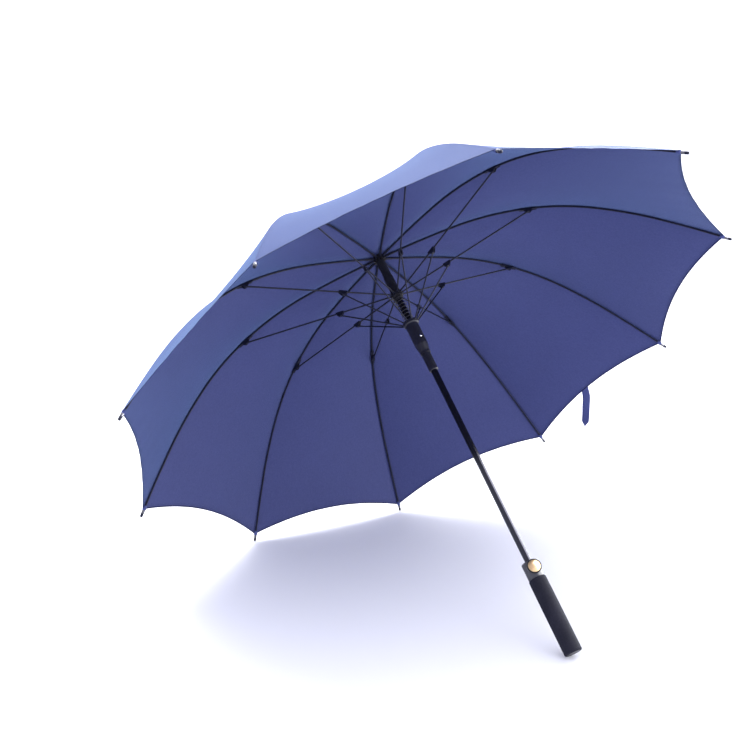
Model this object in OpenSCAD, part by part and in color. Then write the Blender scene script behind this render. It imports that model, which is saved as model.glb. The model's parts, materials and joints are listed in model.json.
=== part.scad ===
// Golf umbrella with a straight foam handle, a push button and a ten rib canopy that folds
// down along the shaft. Millimetres, shaft along +Z, origin at the middle of the grip.

/* [Handle] */
// Length of the foam grip
grip_len = 155; // [150:1:190]
// Diameter of the foam grip
grip_d = 35.4; // [34.5:0.1:40]
// Diameter of the foam grip where it meets the collar
grip_neck_d = 34.4; // [33.5:0.1:35.4]
// Length of the plastic collar that holds the push button
collar_len = 34.5; // [34:0.5:42]
// Diameter of the plastic collar
collar_d = 32.6; // [32:0.1:34]
// Diameter of the push button
button_d = 24.2; // [22:0.1:24.4]
// How far the push button goes in
button_travel = 2.5; // [1.8:0.1:2.6]

/* [Shaft] */
// Outside diameter of the steel shaft tube
shaft_d = 14; // [13:0.1:14.2]
// Wall thickness of the shaft tube
shaft_wall = 0.9; // [0.7:0.1:1.5]
// Height of the rib hinges above the end of the grip
crown_height = 936; // [926:1:960]
// Longest length of the tube between the crown and the upper runner
cover_len = 86; // [50:1:86]
// Length of the ferrule above its flange
ferrule_len = 56; // [40:1:80]
// Diameter of the ferrule above its flange
ferrule_d = 17; // [16:0.1:20]
// Diameter of the ferrule flange
flange_d = 26; // [24:0.5:32]

/* [Ribs] */
// Diameter of the fibreglass ribs
rib_d = 3.8; // [3.2:0.1:4]
// Length of a rib from the crown hinge to the stretcher joint
rib_inner_len = 330; // [322:1:338]
// Length of a rib from the stretcher joint to the corner of the cloth
rib_outer_len = 418; // [404:1:424]
// Downward slope of a rib at the crown, in degrees
rib_slope = -0.4; // [-2:0.1:1]
// Bend of a rib between crown and stretcher joint, in degrees
rib_inner_bend = 21.4; // [19:0.1:23]
// Bend of a rib outside the stretcher joint, in degrees
rib_outer_bend = 27.3; // [23:0.1:30]
// Diameter of the caps on the rib tips
cap_d = 6.4; // [5.4:0.1:7]
// Length of the caps on the rib tips
cap_len = 16; // [12:0.5:20]

/* [Linkage] */
// Distance of the crown and upper runner hinges from the shaft axis
hinge_r = 11; // [10.9:0.1:11.5]
// Diameter of the stretcher rods
strut_d = 3.4; // [2.8:0.1:3.5]
// Share of the stretcher between the upper runner and the link joint
link_share = 0.355; // [0.33:0.005:0.38]
// Distance from the upper runner hinges down to the link seats, open
runner_gap = 75.5; // [72:0.5:80]
// Distance of the link seats from the shaft axis
seat_r = 15.2; // [15:0.1:15.8]
// Diameter of the link rods
link_d = 3; // [2.6:0.1:3.2]

/* [Runner] */
// Diameter of the barrel of the lower runner
barrel_d = 28; // [27:0.1:29]
// Outside diameter of the main spring
spring_d = 22.4; // [21:0.1:22.8]
// Wire diameter of the main spring
spring_wire = 1.8; // [1.2:0.1:2]

/* [Cloth] */
// Thickness of the cloth
cloth_t = 0.8; // [0.5:0.1:1.2]
// How far the hem curves in between two rib tips
hem_curve = 29; // [10:1:40]
// How far the cloth sags between two ribs
cloth_sag = 16; // [4:1:22]
// Width of the closing strap
strap_w = 19; // [14:1:22]
// Length of the hanging part of the closing strap
strap_len = 78; // [60:1:110]

/* [Hidden] */
$fn = 64;
ribs = 10;
sector = 360 / ribs;
first_azimuth = -90;
seat = 0.15;
air = 0.3;
run = 0.08;
pin_d = 1.5;
pin_hole = pin_d + 0.1;
pin_fit = pin_d + 0.04;

grip_end = -grip_len / 2;
grip_top = grip_len / 2;
collar_top = grip_top + collar_len;
crown_z = grip_end + crown_height;
shaft_r = shaft_d / 2;
shaft_foot = 62;
shaft_end = grip_end + shaft_foot;
cap_bite = 10;
grip_neck_len = 30;

function bend_step(q, len, turn) =
    let (c = len * 180 / PI / turn)
    [q[0] + c * (sin(q[2] + turn) - sin(q[2])),
     q[1] - c * (cos(q[2]) - cos(q[2] + turn)),
     q[2] + turn];
function seg_len(i) = i < 2 ? rib_inner_len / 2 : rib_outer_len / 3;
function seg_turn(i) = i < 2 ? rib_inner_bend * [0.25, 0.75][i] : rib_outer_bend * [5, 3, 1][i - 2] / 9;
rib_q0 = [hinge_r, crown_z, rib_slope];
rib_q1 = bend_step(rib_q0, seg_len(0), seg_turn(0));
rib_q2 = bend_step(rib_q1, seg_len(1), seg_turn(1));
rib_q3 = bend_step(rib_q2, seg_len(2), seg_turn(2));
rib_q4 = bend_step(rib_q3, seg_len(3), seg_turn(3));
rib_q = [rib_q0, rib_q1, rib_q2, rib_q3, rib_q4];
cloth_run = rib_inner_len + rib_outer_len;
function seg_start(i) = i == 0 ? 0 : seg_start(i - 1) + seg_len(i - 1);
function seg_of(s, i = 0) = i == 4 || s < seg_start(i + 1) ? i : seg_of(s, i + 1);
function rib_at(s) =
    let (i = seg_of(s), d = max(s - seg_start(i), 0.01))
    bend_step(rib_q[i], d, seg_turn(i) * d / seg_len(i));

eye_d = strut_d + 1;
joint_off = rib_d / 2 + eye_d / 2 + 1.5;
flex_x = 8;
flex_c = seg_len(2) * 180 / PI / seg_turn(2);
flex_turn = seg_turn(2) * flex_x / seg_len(2);
flex_dx = flex_c * sin(flex_turn);
flex_dz = -flex_c * (1 - cos(flex_turn));
flex_q = rib_at(rib_inner_len + flex_x);
tip_q = rib_at(cloth_run);
joint_q = rib_q2;
joint_x = joint_q[0] - joint_off * sin(joint_q[2]);
joint_z = joint_q[1] - joint_off * cos(joint_q[2]);
arm_dx = joint_x - hinge_r;
arm_dz = crown_z - joint_z;
arm = sqrt(arm_dx * arm_dx + arm_dz * arm_dz);
upper_z = crown_z - 2 * arm_dz;
strut_rise = atan2(arm_dz, arm_dx);
link_drop = strut_d / 2 + link_d / 2 + 2.4;
saddle_half = 9;
link_along = arm * link_share;
mid_x = hinge_r + link_along * cos(strut_rise) + link_drop * sin(strut_rise);
mid_z = upper_z + link_along * sin(strut_rise) - link_drop * cos(strut_rise);
lower_z = upper_z - runner_gap;
link_dx = mid_x - seat_r;
link_dz = mid_z - lower_z;
link_len = sqrt(link_dx * link_dx + link_dz * link_dz);
link_rise = atan2(link_dz, link_dx);

shut_lean = asin(12.5 / arm);
shut_upper = crown_z - 2 * arm * cos(shut_lean);
shut_mid_x = hinge_r + link_along * sin(shut_lean) + link_drop * cos(shut_lean);
shut_mid_z = shut_upper + link_along * cos(shut_lean) - link_drop * sin(shut_lean);
shut_in = shut_mid_x - seat_r;
shut_lower = shut_mid_z - sqrt(link_len * link_len - shut_in * shut_in);

notch_w = 4.4;
notch_floor = shaft_r + 1.4;
ring_r = hinge_r + 2.6;
crown_top = crown_z + 4.2;
shaft_over = 34;
shaft_top = crown_z + shaft_over;
eye_r = eye_d / 2;

barrel_r = barrel_d / 2;
cone_len = 17;
nose_r = 9.75;
lug_r = 11.2;
lug_len = 5;
nose_len = 43;
latch_t = 2.4;
button_r = button_d / 2;
button_z = collar_top - button_r - 2;
latch_top = button_z + latch_t / 2;
barrel_low = shut_lower - latch_top - 0.2 - lug_len - cone_len;
runner_len = barrel_low + cone_len + lug_len + nose_len;
spring_floor = 24;
spring_turns = 12;
hollow_r = 12.2;
hollow_floor = shut_lower - runner_len - 4;
button_seat = -17.4;
button_back = -16;
pocket_floor = button_back + button_travel + 0.5;
core_r = 14;

cloth_low = crown_top + 0.6;
rosette_z = cloth_low + cloth_t + 0.3;
flange_z = rosette_z + 1 + 0.2;

hang_tilt = 59;
hang_azimuth = -51;
strap_azimuth = first_azimuth + 3.5 * sector;

// ---- shared shapes ----

module around(i) {
    rotate([0, 0, first_azimuth + (i - 1) * sector]) children();
}

module all_round() {
    for (i = [1:ribs]) around(i) children();
}

module at_q(q) {
    translate([q[0], 0, q[1]]) rotate([0, q[2], 0]) children();
}

module bent_rod(q, len, turn, d) {
    c = len * 180 / PI / turn;
    at_q(q)
        translate([0, 0, -c])
            rotate([90, 0, 0])
                rotate([0, 0, 90 - turn])
                    rotate_extrude(angle = turn)
                        translate([c, 0])
                            circle(d = d);
}

// Narrow band that joins two bends of a rib
module band(q) {
    at_q(q) rod_x(-0.5, 0.5, rib_d + 0.1);
}

module rod_x(x0, x1, d) {
    translate([x0, 0, 0]) rotate([0, 90, 0]) cylinder(h = x1 - x0, d = d);
}

module pin_y(d, len) {
    rotate([90, 0, 0]) cylinder(h = len, d = d, center = true);
}

module rivet(d, len) {
    pin_y(d, len);
    for (side = [-1, 1])
        translate([0, side * (len / 2 + 0.2), 0]) pin_y(d + 0.9, 0.4);
}

module notched_ring(low, high, slot_low, slot_high) {
    difference() {
        translate([0, 0, low]) cylinder(h = high - low, r = ring_r);
        translate([0, 0, low - 1]) cylinder(h = high - low + 2, r = shaft_r + run);
        all_round() {
            translate([notch_floor, -notch_w / 2, slot_low])
                cube([ring_r, notch_w, slot_high - slot_low]);
            translate([hinge_r, 0, 0]) pin_y(pin_fit, 6.2);
        }
    }
}

module hinge_pins() {
    all_round() translate([hinge_r, 0, 0]) pin_y(pin_d, 6);
}

// Closed tube along a list of points, with a round section
module wire(path, r, sides) {
    n = len(path);
    function flat_dir(i) =
        let (a = path[max(i - 1, 0)], b = path[min(i + 1, n - 1)], v = b - a)
        v / norm(v);
    pts = [
        for (i = [0:n - 1])
            let (t = flat_dir(i),
                 out = [path[i][0], path[i][1], 0] / norm([path[i][0], path[i][1], 0]),
                 up = cross(out, t),
                 up1 = up / norm(up))
            for (k = [0:sides - 1])
                path[i] + r * (cos(k * 360 / sides) * out + sin(k * 360 / sides) * up1)
    ];
    faces = concat(
        [[for (k = [0:sides - 1]) k]],
        [for (i = [0:n - 2]) for (k = [0:sides - 1])
            let (k2 = (k + 1) % sides)
            [i * sides + k, (i + 1) * sides + k, (i + 1) * sides + k2, i * sides + k2]],
        [[for (k = [sides - 1:-1:0]) (n - 1) * sides + k]]
    );
    polyhedron(points = pts, faces = faces, convexity = 10);
}

module coil(r, wire_d, height, turns, steps, sides = 8, dead = 0.06) {
    n = turns * steps;
    function lift(f) = f < dead ? 0 : f > 1 - dead ? 1 : (f - dead) / (1 - 2 * dead);
    wire([for (i = [0:n])
            [r * cos(i * 360 / steps), r * sin(i * 360 / steps),
             wire_d / 2 + (height - wire_d) * lift(i / n) + 0.02 * i * wire_d / n]],
         wire_d / 2, sides);
}

// ---- ribs ----

module joint_bracket() {
    cheek_in = max(rib_d, eye_d - 1) / 2 + 0.4;
    low = -joint_off - eye_r - 0.6;
    difference() {
        union() {
            for (side = [-1, 1])
                translate([0, side * (cheek_in + 0.6), 0])
                    rotate([90, 0, 0])
                        translate([0, 0, -0.6])
                            linear_extrude(1.2)
                                polygon([
                                    [-21, -rib_d / 2 - 0.8], [-21, 0.4], [flex_x, 0.8], [flex_x + 9, 0.2],
                                    [flex_x + 9, -rib_d / 2 - 0.2], [flex_x - 1, -rib_d / 2 - 1],
                                    [3.2, low], [-3.2, low], [-9, -rib_d / 2 - 1.2]
                                ]);
            translate([-21, -cheek_in - 0.1, -rib_d / 2 - 1.3])
                cube([10, 2 * cheek_in + 0.2, 1.1]);
        }
        translate([0, 0, -joint_off]) pin_y(pin_fit, 20);
        translate([flex_dx, 0, flex_dz]) pin_y(pin_fit, 20);
    }
    rivet_len = 2 * cheek_in + 2.4;
    translate([0, 0, -joint_off]) rivet(pin_d, rivet_len + 0.04);
    translate([flex_dx, 0, flex_dz]) rivet(pin_d, rivet_len + 0.04);
}

module rib_inner(i) {
    color([0.07, 0.07, 0.08]) around(i) {
        difference() {
            union() {
                translate([hinge_r, 0, crown_z]) pin_y(rib_d + 0.6, rib_d - 0.2);
                bent_rod(rib_q0, seg_len(0), seg_turn(0), rib_d);
                band(rib_q1);
                bent_rod(rib_q1, seg_len(1), seg_turn(1), rib_d);
                band(rib_q2);
                at_q(rib_q2) rod_x(0, flex_x - rib_d / 2 - 0.9, rib_d);
            }
            translate([hinge_r, 0, crown_z]) pin_y(pin_hole, 20);
        }
        at_q(rib_q2) joint_bracket();
    }
}

module tip_cap() {
    r = cap_d / 2;
    neck = rib_d / 2 + 0.1;
    rotate([0, 90, 0])
        rotate_extrude()
            polygon(concat(
                [[neck, 0], [r - 0.5, 0], [r, 0.8], [r * 0.9, cap_len - r * 0.7]],
                [for (a = [15:15:90]) [r * 0.9 * cos(a), cap_len - r * 0.7 + r * 0.7 * sin(a)]],
                [[0, cap_bite + 0.2], [neck, cap_bite + 0.2]]
            ));
}

module rib_outer(i) {
    color([0.05, 0.05, 0.06]) around(i) {
        difference() {
            union() {
                at_q(flex_q) pin_y(rib_d + 0.3, rib_d - 0.2);
                bent_rod(flex_q, seg_len(2) - flex_x, seg_turn(2) - flex_turn, rib_d);
                band(rib_q3);
                bent_rod(rib_q3, seg_len(3), seg_turn(3), rib_d);
                band(rib_q4);
                bent_rod(rib_q4, seg_len(4), seg_turn(4), rib_d);
                band(tip_q);
                at_q(tip_q) rod_x(0, cap_bite, rib_d);
            }
            at_q(flex_q) pin_y(pin_hole, 20);
        }
        at_q(tip_q) translate([0.6, 0, 0]) tip_cap();
    }
}

// ---- stretchers and links ----

module link_saddle() {
    ear_in = max(strut_d, link_d + 0.4) / 2 + 0.3;
    difference() {
        union() {
            for (side = [-1, 1])
                translate([0, side * (ear_in + 0.6), 0])
                    rotate([90, 0, 0])
                        translate([0, 0, -0.6])
                            linear_extrude(1.2)
                                polygon([
                                    [-saddle_half, strut_d / 2 + 0.8], [saddle_half, strut_d / 2 + 0.8],
                                    [saddle_half, -0.6], [2.8, -link_drop - 2],
                                    [-2.8, -link_drop - 2], [-saddle_half, -0.6]
                                ]);
            translate([-saddle_half, -ear_in - 0.1, strut_d / 2 + 0.1])
                cube([2 * saddle_half, 2 * ear_in + 0.2, 0.7]);
        }
        translate([0, 0, -link_drop]) pin_y(pin_fit, 20);
    }
    translate([0, 0, -link_drop]) rivet(pin_d, 2 * ear_in + 2.44);
}

module stretcher(i) {
    color([0.08, 0.08, 0.09]) around(i)
        translate([hinge_r, 0, upper_z]) rotate([0, -strut_rise, 0]) {
            difference() {
                union() {
                    pin_y(eye_d, rib_d - 0.2);
                    translate([arm, 0, 0]) pin_y(eye_d, strut_d);
                    rod_x(0, arm, strut_d);
                }
                pin_y(pin_hole, 20);
                translate([arm, 0, 0]) pin_y(pin_hole, 20);
            }
            translate([link_along, 0, 0]) link_saddle();
        }
}

module link(i) {
    color([0.08, 0.08, 0.09]) around(i)
        translate([seat_r, 0, lower_z]) rotate([0, -link_rise, 0])
            difference() {
                union() {
                    pin_y(eye_d - 0.4, 3.4);
                    translate([link_len, 0, 0]) pin_y(eye_d - 0.4, link_d + 0.2);
                    rod_x(0, link_len, link_d);
                }
                translate([link_len, 0, 0]) pin_y(pin_hole, 20);
            }
}

// ---- shaft, crown and ferrule ----

module shaft() {
    color([0.09, 0.09, 0.1])
        difference() {
            translate([0, 0, shaft_end]) cylinder(h = shaft_top - shaft_end, r = shaft_r);
            translate([0, 0, shaft_end - 1])
                cylinder(h = shaft_top + 2 - shaft_end, r = shaft_r - shaft_wall);
        }
}

module crown() {
    color([0.06, 0.06, 0.07])
        translate([0, 0, crown_z]) notched_ring(-6, 4.2, -7, 2.9);
}

module crown_pins() {
    color([0.6, 0.61, 0.63]) translate([0, 0, crown_z]) hinge_pins();
}

module spring_cover() {
    high = crown_z - 6.2;
    low = max(high - cover_len, upper_z + 5 + 0.8);
    long = high - low;
    color([0.06, 0.06, 0.07])
        difference() {
            union() {
                translate([0, 0, low]) cylinder(h = long * 0.45, r = shaft_r + 3.4);
                translate([0, 0, low + long * 0.45 - 0.1])
                    cylinder(h = 8.1, r1 = shaft_r + 3.4, r2 = shaft_r + 2.2);
                translate([0, 0, low + long * 0.45 + 7.9])
                    cylinder(h = long * 0.55 - 7.9, r = shaft_r + 2.2);
                translate([0, 0, high - 3]) cylinder(h = 3, r = shaft_r + 2.9);
            }
            translate([0, 0, low - 1]) cylinder(h = long + 2, r = shaft_r + seat);
        }
}

module ferrule() {
    r = ferrule_d / 2;
    tip = r * 0.72;
    color([0.07, 0.07, 0.08])
        translate([0, 0, flange_z])
            rotate_extrude()
                polygon(concat(
                    [[shaft_r + seat, 0], [flange_d / 2 - 0.6, 0], [flange_d / 2, 0.8], [flange_d / 2 - 0.3, 2.2],
                     [r + 1.4, 3.6], [r, 5.4], [r, ferrule_len * 0.42], [r * 0.92, ferrule_len * 0.55],
                     [tip, ferrule_len - 2.5]],
                    [for (a = [20:14:90]) [tip - 2.5 + 2.5 * cos(a), ferrule_len - 2.5 + 2.5 * sin(a)]],
                    [[0, ferrule_len], [0, shaft_top + 0.3 - flange_z], [shaft_r + seat, shaft_top + 0.3 - flange_z]]
                ));
}

module rosette() {
    color([0.1, 0.16, 0.4])
        difference() {
            translate([0, 0, rosette_z]) cylinder(h = 1, r = 21);
            translate([0, 0, rosette_z - 1]) cylinder(h = 3, r = shaft_r + seat);
        }
}

// ---- cloth ----

along = 18;
across = 10;
cloth_lift = rib_d / 2 + 1.1;

function ease(s) = let (f = min(s / 42, 1)) f * f * (3 - 2 * f);

// How far the cloth lies above the middle of the rib, so that it clears the crown as well
function cloth_off(s) = cloth_lift + (cloth_low - crown_z - cloth_lift) * (1 - ease(s));

// Point of one gore: u runs from rib to rib, v from the crown to the hem
function gore_at(u, v, up) =
    let (s = v * (cloth_run - hem_curve * (1 - u * u)),
         q = rib_at(s),
         o = cloth_off(s) + up,
         x = max(q[0] + o * sin(q[2]), shaft_r + 1),
         z = q[1] + o * cos(q[2]),
         sag = cloth_sag * (1 - u * u) * sin(180 * pow(v, 0.9)) * ease(s),
         h = sector / 2)
    [x * cos(h) - sag * sin(q[2]), u * (x * sin(h) - 0.12), z - sag * cos(q[2])];

module gore() {
    row = across + 1;
    half = row * (along + 1);
    pts = [
        for (up = [0, cloth_t])
            for (j = [0:along])
                for (k = [0:across])
                    gore_at(2 * k / across - 1, j / along, up)
    ];
    faces = concat(
        [for (j = [0:along - 1]) for (k = [0:across - 1])
            let (a = j * row + k, b = a + 1, c = a + row, d = c + 1)
            each [[a, b, d], [a, d, c]]],
        [for (j = [0:along - 1]) for (k = [0:across - 1])
            let (a = half + j * row + k, b = a + 1, c = a + row, d = c + 1)
            each [[a, d, b], [a, c, d]]],
        [for (k = [0:across - 1])
            let (a = k, b = k + 1)
            each [[a, b + half, b], [a, a + half, b + half]]],
        [for (k = [0:across - 1])
            let (a = along * row + k, b = a + 1)
            each [[a, b, b + half], [a, b + half, a + half]]],
        [for (j = [0:along - 1])
            let (a = j * row, c = a + row)
            each [[a, c, c + half], [a, c + half, a + half]]],
        [for (j = [0:along - 1])
            let (a = j * row + across, c = a + row)
            each [[a, c + half, c], [a, a + half, c + half]]]
    );
    polyhedron(points = pts, faces = faces, convexity = 6);
}

module canopy() {
    color([0.1, 0.16, 0.42])
        for (i = [1:ribs])
            rotate([0, 0, first_azimuth + (i - 0.5) * sector]) gore();
}

// Point on the outside of the cloth of the strap's gore: a mm beside its middle, b mm from the hem
function cloth_point(a, b, lift) =
    let (s = cloth_run - hem_curve - b,
         u = a / (rib_at(s)[0] * sin(sector / 2)),
         p = gore_at(u, 1 - b / (cloth_run - hem_curve * (1 - u * u)), cloth_t + lift),
         c = cos(strap_azimuth), d = sin(strap_azimuth))
    [p[0] * c - p[1] * d, p[0] * d + p[1] * c, p[2]];

// Middle line of the strap on the cloth: the sewn end, a turn and the leg that runs over the hem
sewn_b = 59;
sewn_len = 19;
turn_r = 10;
turned = 122;
past_hem = 7;
turn_at = [2, sewn_b - turn_r];
function strap_head(f) = 180 + turned * min(max(f - 1, 0), 1);
function strap_turn(f) = let (h = strap_head(f)) turn_at + turn_r * [sin(h), -cos(h)];
leg_len = (strap_turn(2)[1] + past_hem) / -sin(180 + turned);
function strap_line(f) =
    f < 1 ? turn_at + [sewn_len * (1 - f), turn_r]
    : f < 2 ? strap_turn(f)
    : strap_turn(2) + leg_len * (f - 2) * [cos(180 + turned), sin(180 + turned)];
function strap_half(f) = strap_w / 2 * (f < 2 ? 0.7 : min(1, 0.7 + 0.6 * (f - 2)));

// The strap is sewn on the outside of the cloth, turns and hangs down over the hem
module tie_strap() {
    t = 1.1;
    hang = -[cos(hang_tilt) * cos(hang_azimuth), cos(hang_tilt) * sin(hang_azimuth), sin(hang_tilt)];
    function corner(f, side, lift) =
        let (h = strap_head(f), m = strap_line(f) + side * strap_half(f) * [-sin(h), cos(h)])
        cloth_point(m[0], m[1], lift);
    function section(f) = [for (e = [[-1, 0], [1, 0], [1, 1], [-1, 1]]) corner(f, e[0], 0.45 + t * e[1])];
    last = section(3);
    mid = (last[0] + last[1] + last[2] + last[3]) / 4;
    w0 = (last[1] - last[0]) / norm(last[1] - last[0]);
    before = section(2.9);
    way = mid - (before[0] + before[1] + before[2] + before[3]) / 4;
    go = way / norm(way);
    w_down = w0 - hang * (w0 * hang);
    w1 = w_down / norm(w_down);
    function mix(g) = let (v = go * (1 - g) + hang * g) v / norm(v);
    function place(g) = g <= 0 ? mid : place(g - 0.25) + mix(g - 0.125) * 2.5;
    function square(at, dir, w, half) =
        let (m = cross(w, dir), m1 = m / norm(m))
        [for (e = [[-1, 1], [1, 1], [1, -1], [-1, -1]]) at + w * half * e[0] + m1 * e[1] * t / 2];
    rings = concat(
        [for (f = [0, 0.5, 1]) section(f)],
        [for (k = [1:8]) section(1 + k / 8)],
        [for (f = [2.25, 2.5, 2.75, 3]) section(f)],
        [for (k = [1:4])
            let (g = k / 4, w = w0 * (1 - g) + w1 * g)
            square(place(g), mix(g), w / norm(w), strap_w / 2)],
        [for (e = [[strap_len - 16, 1], [strap_len - 9, 0.9], [strap_len, 0.12]])
            square(place(1) + hang * e[0], hang, w1, strap_w / 2 * e[1])]
    );
    n = len(rings);
    pts = [for (r = rings) each r];
    faces = concat(
        [[0, 1, 2, 3]],
        [for (i = [0:n - 2]) for (k = [0:3])
            let (k2 = (k + 1) % 4, a0 = i * 4)
            each [[a0 + k, a0 + 4 + k, a0 + k2], [a0 + k2, a0 + 4 + k, a0 + 4 + k2]]],
        [[(n - 1) * 4 + 3, (n - 1) * 4 + 2, (n - 1) * 4 + 1, (n - 1) * 4]]
    );
    color([0.08, 0.12, 0.34]) polyhedron(points = pts, faces = faces, convexity = 6);
}

// ---- handle ----

module handle_core() {
    color([0.12, 0.12, 0.13])
        difference() {
            translate([0, 0, grip_end + 5]) cylinder(h = grip_len - 5, r = core_r);
            translate([0, 0, hollow_floor]) cylinder(h = grip_len, r = hollow_r);
            translate([0, 0, shaft_end - 0.1]) cylinder(h = grip_len, r = shaft_r + 0.05);
        }
}

module foam_grip() {
    r = grip_d / 2;
    inner = core_r + seat;
    c = min(3.4, r - inner - 0.5);
    neck_r = grip_neck_d / 2;
    color([0.06, 0.06, 0.07])
        rotate_extrude()
            polygon(concat(
                [[inner, grip_end]],
                [for (a = [-90:15:0]) [r - c + c * cos(a), grip_end + c + c * sin(a)]],
                [[r, grip_top - grip_neck_len], [neck_r + 0.2, grip_top - 4], [neck_r, grip_top - 1.8],
                 [neck_r - 1.2, grip_top - 0.1], [inner, grip_top - 0.1]]
            ));
}

module end_plug() {
    color([0.1, 0.1, 0.11])
        translate([0, 0, grip_end + 0.4]) {
            cylinder(h = 4.4, r = core_r - 0.05);
            translate([0, 0, -0.8]) cylinder(h = 0.8, r1 = core_r - 1.6, r2 = core_r - 0.6);
        }
}

module latch_fork() {
    gap = nose_r + 0.45;
    difference() {
        union() {
            circle(r = hollow_r + 0.1);
            translate([-12, button_back]) square([24, -button_back]);
        }
        circle(r = gap);
        translate([-gap, button_back - 1]) square([2 * gap, 1 - button_back]);
    }
}

module collar() {
    r = collar_d / 2;
    low = grip_top + 0.05;
    color([0.16, 0.16, 0.18])
        difference() {
            union() {
                translate([0, 0, low]) cylinder(h = collar_top - 1.2 - low, r = r);
                translate([0, 0, collar_top - 1.2]) cylinder(h = 1.2, r1 = r, r2 = r - 0.7);
                translate([0, button_seat, button_z]) rotate([-90, 0, 0]) cylinder(h = 10, r = button_r + 1.2);
            }
            translate([0, 0, low - 1]) cylinder(h = collar_len + 2, r = hollow_r);
            translate([0, 0, collar_top - 4.5]) cylinder(h = 4.6, r1 = hollow_r, r2 = hollow_r + 2.8);
            translate([0, button_seat - 1, button_z])
                rotate([-90, 0, 0]) cylinder(h = pocket_floor - button_seat + 1, r = button_r + 0.25);
            translate([0, 0, button_z - latch_t / 2 - air]) linear_extrude(latch_t + 2 * air)
                union() {
                    translate([0, button_travel]) circle(r = hollow_r + 0.1 + air);
                    translate([-12 - air, pocket_floor - 1])
                        square([24 + 2 * air, button_travel - pocket_floor + 1]);
                }
        }
}

module button() {
    r = button_r;
    dome = 2.2;
    edge = 1.9;
    ball = (r * r + dome * dome) / (2 * dome);
    color([0.83, 0.62, 0.27])
        translate([0, button_back, button_z])
            rotate([90, 0, 0])
                rotate_extrude()
                    polygon(concat(
                        [[0, 0], [r, 0], [r, edge]],
                        [for (k = [1:7]) let (x = r * (1 - k / 8)) [x, edge + dome - ball + sqrt(ball * ball - x * x)]],
                        [[0, edge + dome]]
                    ));
}

module button_ring() {
    color([0.05, 0.05, 0.06])
        translate([0, button_seat - 0.05, button_z])
            rotate([90, 0, 0])
                difference() {
                    cylinder(h = 0.9, r1 = button_r + 1.5, r2 = button_r + 1.1);
                    translate([0, 0, -1]) cylinder(h = 3, r = button_r + 0.25);
                }
}

module latch() {
    color([0.62, 0.63, 0.65])
        translate([0, 0, button_z - latch_t / 2])
            linear_extrude(latch_t) latch_fork();
}

module button_spring() {
    gap = pocket_floor - button_back;
    color([0.7, 0.7, 0.72])
        translate([0, pocket_floor - 0.05, button_z])
            rotate([90, 0, 0]) coil(3.2, 0.7, gap - 0.1, 2, 12);
}

// ---- runners and main spring ----

module upper_runner() {
    color([0.06, 0.06, 0.07])
        translate([0, 0, upper_z]) {
            difference() {
                union() {
                    notched_ring(-6, 5, -2.9, 6);
                    translate([0, 0, -16]) cylinder(h = 10.2, r = spring_d / 2 - spring_wire - 0.4);
                }
                translate([0, 0, -20]) cylinder(h = 30, r = shaft_r + run);
            }
        }
}

module runner_pins() {
    color([0.6, 0.61, 0.63]) translate([0, 0, upper_z]) hinge_pins();
}

module lower_runner() {
    flange_r = seat_r + 1.9;
    spring_r = spring_d / 2 + 0.35;
    color([0.07, 0.07, 0.08])
        translate([0, 0, lower_z])
            difference() {
                rotate_extrude()
                    polygon([
                        [shaft_r + run, -runner_len], [nose_r - 0.8, -runner_len], [nose_r, -runner_len + 1],
                        [nose_r, -runner_len + nose_len], [lug_r, -runner_len + nose_len],
                        [lug_r, -barrel_low - cone_len], [lug_r - 0.8, -barrel_low - cone_len],
                        [barrel_r, -barrel_low], [barrel_r, -7], [flange_r, -5], [flange_r, 1.6],
                        [seat_r - 2.6, 1.6], [seat_r - 2.6, 3.2], [spring_r, 3.2],
                        [spring_r, -spring_floor], [shaft_r + run, -spring_floor]
                    ]);
                all_round()
                    translate([seat_r - 2.4, -2.1, -2.4]) cube([10, 4.2, 10]);
            }
}

module main_spring() {
    top = upper_z - 6.1;
    low = lower_z - spring_floor + 0.1;
    color([0.55, 0.56, 0.58])
        translate([0, 0, low]) coil(spring_d / 2 - spring_wire / 2, spring_wire, top - low, spring_turns,
                                   20, 8, 0.05);
}

// ---- output ----

rib_inner(1);  // rib_inner_01
rib_inner(2);  // rib_inner_02
rib_inner(3);  // rib_inner_03
rib_inner(4);  // rib_inner_04
rib_inner(5);  // rib_inner_05
rib_inner(6);  // rib_inner_06
rib_inner(7);  // rib_inner_07
rib_inner(8);  // rib_inner_08
rib_inner(9);  // rib_inner_09
rib_inner(10);  // rib_inner_10
rib_outer(1);  // rib_outer_01
rib_outer(2);  // rib_outer_02
rib_outer(3);  // rib_outer_03
rib_outer(4);  // rib_outer_04
rib_outer(5);  // rib_outer_05
rib_outer(6);  // rib_outer_06
rib_outer(7);  // rib_outer_07
rib_outer(8);  // rib_outer_08
rib_outer(9);  // rib_outer_09
rib_outer(10);  // rib_outer_10
stretcher(1);  // stretcher_01
stretcher(2);  // stretcher_02
stretcher(3);  // stretcher_03
stretcher(4);  // stretcher_04
stretcher(5);  // stretcher_05
stretcher(6);  // stretcher_06
stretcher(7);  // stretcher_07
stretcher(8);  // stretcher_08
stretcher(9);  // stretcher_09
stretcher(10);  // stretcher_10
link(1);  // link_01
link(2);  // link_02
link(3);  // link_03
link(4);  // link_04
link(5);  // link_05
link(6);  // link_06
link(7);  // link_07
link(8);  // link_08
link(9);  // link_09
link(10);  // link_10
shaft();
crown();
crown_pins();
spring_cover();
ferrule();
rosette();
canopy();
tie_strap();
handle_core();
foam_grip();
end_plug();
collar();
button();
button_ring();
latch();
button_spring();
upper_runner();
runner_pins();
lower_runner();
main_spring();
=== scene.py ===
import json
import math
import bpy
import numpy as np
from mathutils import Vector, Matrix


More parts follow.
